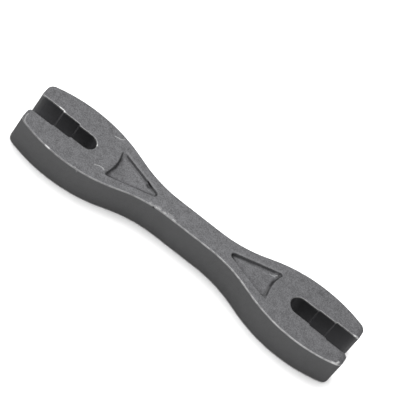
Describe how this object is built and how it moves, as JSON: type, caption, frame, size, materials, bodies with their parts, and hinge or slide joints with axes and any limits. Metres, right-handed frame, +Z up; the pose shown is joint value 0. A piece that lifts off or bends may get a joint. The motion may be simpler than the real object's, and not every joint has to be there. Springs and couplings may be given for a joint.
{
  "type": "spoke wrench",
  "caption": "Flat double-ended steel spoke wrench: the stepped slot in each head slides over a wheel's spoke and grips the flats of its nipple.",
  "frame": {"origin": "on the face the wrench rests on, under the middle of the wrench", "axes": "+X along the wrench towards the head with the larger openings, +Y across it in its own plane, +Z up through its thickness"},
  "size_m": [0.1016, 0.021, 0.0089],
  "materials": {
    "blasted_steel": "bare forged steel, shot-blasted to an even mid-grey grain, rubbed bright along its edges"
  },
  "bodies": {
    "root": {"wrench_body": "blasted_steel"}
  },
  "joints": []
}
